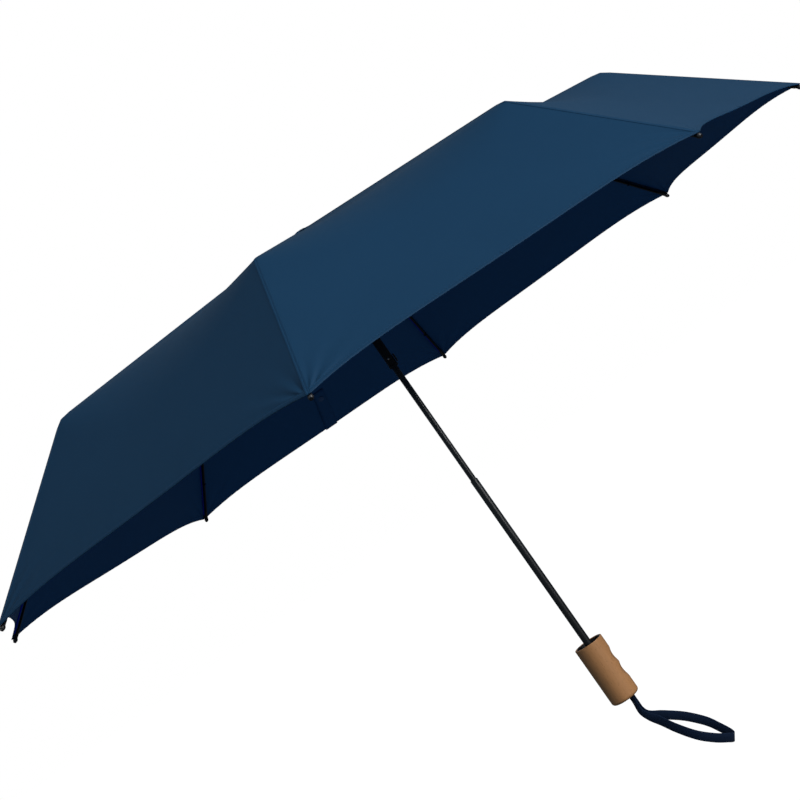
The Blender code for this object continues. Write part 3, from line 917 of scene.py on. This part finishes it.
fittings = {
    "tip": ((-0.0100, 0.0011), (-0.0085, 0.0015), (-0.0030, 0.0018), (-0.0004, 0.0018), (0.0002, 0.0014),
            (0.0014, 0.0014), (0.0020, 0.0021), (0.0036, 0.0024), (0.0052, 0.0021), (0.0062, 0.0013),
            (0.0066, 0.0001)),
    "tipRings": ((0.0008, 0.0018), (0.0036, 0.0023)), "ringSize": 0.00014,  # distance along, radius
    "rivet": ((0.0, 0.0011), (0.0002, 0.0010), (0.0004, 0.0006), (0.0005, 0.00005)),
    "rivetSide": 0.00125, "stretcherSide": 0.0037,
    "tieRadius": 0.0021, "tieWidth": 0.0014, "tieEdge": 0.0002, "tieShares": (0.3, 0.72),
    "tipLift": 0.0014,  # the outer rib's middle above its pivot
    "stretcherReach": 0.070, "sleeveRadius": 0.0047, "sleeveRivet": 0.010,
}


def spindle(profile, centre, axis, steps=20):
    # Points and faces of a profile of (distance along, radius) turned about an axis, with filled ends.
    axis = Vector(axis).normalized()
    side = axis.orthogonal().normalized()
    other = axis.cross(side)
    points = []
    for ahead, radius in profile:
        for step in range(steps):
            angle = 2 * math.pi * step / steps
            outward = side * math.cos(angle) + other * math.sin(angle)
            points.append(Vector(centre) + axis * ahead + outward * radius)
    return points, loft(len(profile), steps)


def ringProfile(middle, radius, size):
    return [(middle + size * math.cos(angle), radius + size * math.sin(angle))
            for angle in np.linspace(math.pi, 0, 7)]


def merged(name, parts, paint, azimuth):
    points, faces = [], []
    for more, shapes in parts:
        faces += [tuple(index + len(points) for index in face) for face in shapes]
        points += more
    obj = addMesh(name, spun(points, azimuth), faces, paint)
    obj.data.set_sharp_from_angle(angle=math.radians(45))
    return obj


def rivets(centre, left, right):
    sides = [Vector((0, side, 0)) for side in (-left, right)]
    return [spindle(fittings["rivet"], centre + side, side) for side in sides]


def ties(start, slope, length):
    half, radius, edge = fittings["tieWidth"] / 2, fittings["tieRadius"], fittings["tieEdge"]
    profile = [(-half, radius - edge), (-half * 0.8, radius), (half * 0.8, radius), (half, radius - edge)]
    ahead = along(slope)
    return [spindle(profile, start + ahead * length * share, ahead) for share in fittings["tieShares"]]


def makeFittings(index):
    azimuth = 2 * halfAngle * index
    side, far = fittings["rivetSide"], fittings["stretcherSide"]
    joint = crownPivot + along(roofSlope) * fittings["stretcherReach"]
    tipRoot = kneePivot + along(rimSlope) * ribReach + upward(rimSlope) * fittings["tipLift"]
    outerMiddle = kneePivot + upward(rimSlope) * fittings["tipLift"]
    innerRun, middleRun = foldRun, kneeRun - foldRun
    made = [
        (f"inner_rib_{index}", "rib_steel", merged(
            f"innerRivets_{index}", rivets(crownPivot, side, side) + rivets(joint, side, far)
            + rivets(foldPivot, side, side), brightSteel, azimuth)),
        (f"middle_rib_{index}", "rib_steel", merged(
            f"middleRivets_{index}", rivets(kneePivot, side, side), brightSteel, azimuth)),
        (f"inner_rib_{index}", "navy_cloth", merged(
            f"innerTies_{index}", ties(crownPivot, roofSlope, innerRun), navyTape, azimuth)),
        (f"middle_rib_{index}", "navy_cloth", merged(
            f"middleTies_{index}", ties(crownPivot + along(roofSlope) * innerRun, roofSlope, middleRun),
            navyTape, azimuth)),
        (f"outer_rib_{index}", "navy_cloth", merged(
            f"outerTies_{index}", ties(outerMiddle, rimSlope, ribReach), navyTape, azimuth)),
        (f"outer_rib_{index}", "black_plastic", merged(
            f"tip_{index}", [spindle(fittings["tip"], tipRoot, along(rimSlope))], blackPlastic, azimuth)),
        (f"outer_rib_{index}", "rib_steel", merged(
            f"tipRings_{index}", [
                spindle(ringProfile(place, radius, fittings["ringSize"]), tipRoot, along(rimSlope))
                for place, radius in fittings["tipRings"]
            ], ribSteel, azimuth)),
    ]
    for body, slot, obj in made:
        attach(obj, body)


def makeSleeveRivets():
    # One rivet on each side of the runner's sleeve, just above its foot.
    low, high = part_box("runner")
    radius = fittings["sleeveRadius"]
    parts = [spindle(fittings["rivet"], (0, side * radius, low.z + fittings["sleeveRivet"]), (0, side, 0))
             for side in (-1, 1)]
    obj = merged("sleeveRivets", parts, brightSteel, 0)
    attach(obj, "runner")


for ribIndex in range(ribCount):
    makeFittings(ribIndex)
makeSleeveRivets()
print("fittings done")

# ---- crown rosette, closing band

crown = {"inner": 0.0048, "outer": 0.0135, "lift": (0.0006, 0.0010), "pinks": 24, "pinkDepth": 0.0007,
         "capHeight": 0.0033, "capRise": 0.0009, "capSkirt": 0.0005}


def makeRosette():
    # A pinked cloth washer between the canopy and the cap.
    low, high = crown["lift"]
    steps = crown["pinks"] * 6
    section = [(crown["inner"], low), (crown["inner"], high), (crown["outer"], high), (crown["outer"], low)]
    points, uv, faces = [], [], []
    for step in range(steps):
        angle = 2 * math.pi * step / steps
        for radius, lift in section:
            if radius == crown["outer"]:
                radius += crown["pinkDepth"] * math.cos(crown["pinks"] * angle)
            height = roofStart.z + (roofStart.x - radius) * math.tan(roofSlope) + lift
            points.append((radius * math.cos(angle), radius * math.sin(angle), height))
            uv.append((radius * math.cos(angle), radius * math.sin(angle)))
    for step in range(steps):
        after = (step + 1) % steps
        for corner in range(4):
            turn = (corner + 1) % 4
            faces.append((step * 4 + corner, step * 4 + turn, after * 4 + turn, after * 4 + corner))
    obj = addMesh("crownRosette", points, faces, navyCloth, smooth=False)
    setUv(obj, uv)
    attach(obj, "upper_tube")


def makeCap():
    # The low button that closes the crown hole, above the rosette.
    low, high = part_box("top_cap")
    radius = (high.x - low.x) / 2
    base = high.z - crown["capHeight"]
    profile = [(radius * share, base + crown["capRise"] * (1 - share ** 4))
               for share in (0.01, 0.3, 0.55, 0.75, 0.9, 1)]
    profile += [(radius, base - crown["capSkirt"]), (radius * 0.6, base - crown["capSkirt"])]
    obj = turned("crownButton", profile, capPlastic)
    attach(obj, "upper_tube")
    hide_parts("top_cap")


band = {
    "rib": 2, "share": 0.905, "inside": 0.078, "beyond": 0.0012, "lift": (-0.0005, -0.0010), "spacing": 0.006,
    "button": ((0.0, 0.0042), (0.0004, 0.0042), (0.0008, 0.0034), (0.0009, 0.0001)), "buttonIn": 0.062,
}


def makeBand():
    # The closing band lies inside the canopy, with its fold just past the hem.
    azimuth = 2 * halfAngle * band["rib"]
    shares = np.linspace(band["share"], 1, 5)
    runs = clothRuns(hemRun - band["inside"], hemRun + band["beyond"], band["spacing"])
    upper, under = band["lift"]
    loop = [(share, upper) for share in shares] + [(share, under) for share in reversed(shares)]
    points, uv = [], []
    for run in runs:
        slope = meridian(run)[1]
        for share, lift in loop:
            here = clothPoint(run, share, 1) + upward(slope) * lift
            points.append(here)
            uv.append((run, here.y))
    # The band takes the lightened inside colour: painted light passing through the canopy.
    obj = addMesh("closingBand", spun(points, azimuth), loft(len(runs), len(loop)), throughLitCloth)
    setUv(obj, uv)
    body = f"outer_rib_{band['rib']}"
    foldWith(obj, body)
    run = hemRun - band["buttonIn"]
    place = clothPoint(run, (1 + band["share"]) / 2, 1) + upward(rimSlope) * under
    disc = spindle(band["button"], place, -upward(rimSlope), 32)
    # The button's light blue is the same painted through-light as the canopy's inside.
    button = merged("bandButton", [disc], buttonPlastic, azimuth)
    foldWith(button, body)


makeRosette()
makeCap()
makeBand()
print("rosette and band done")

print("finishing")
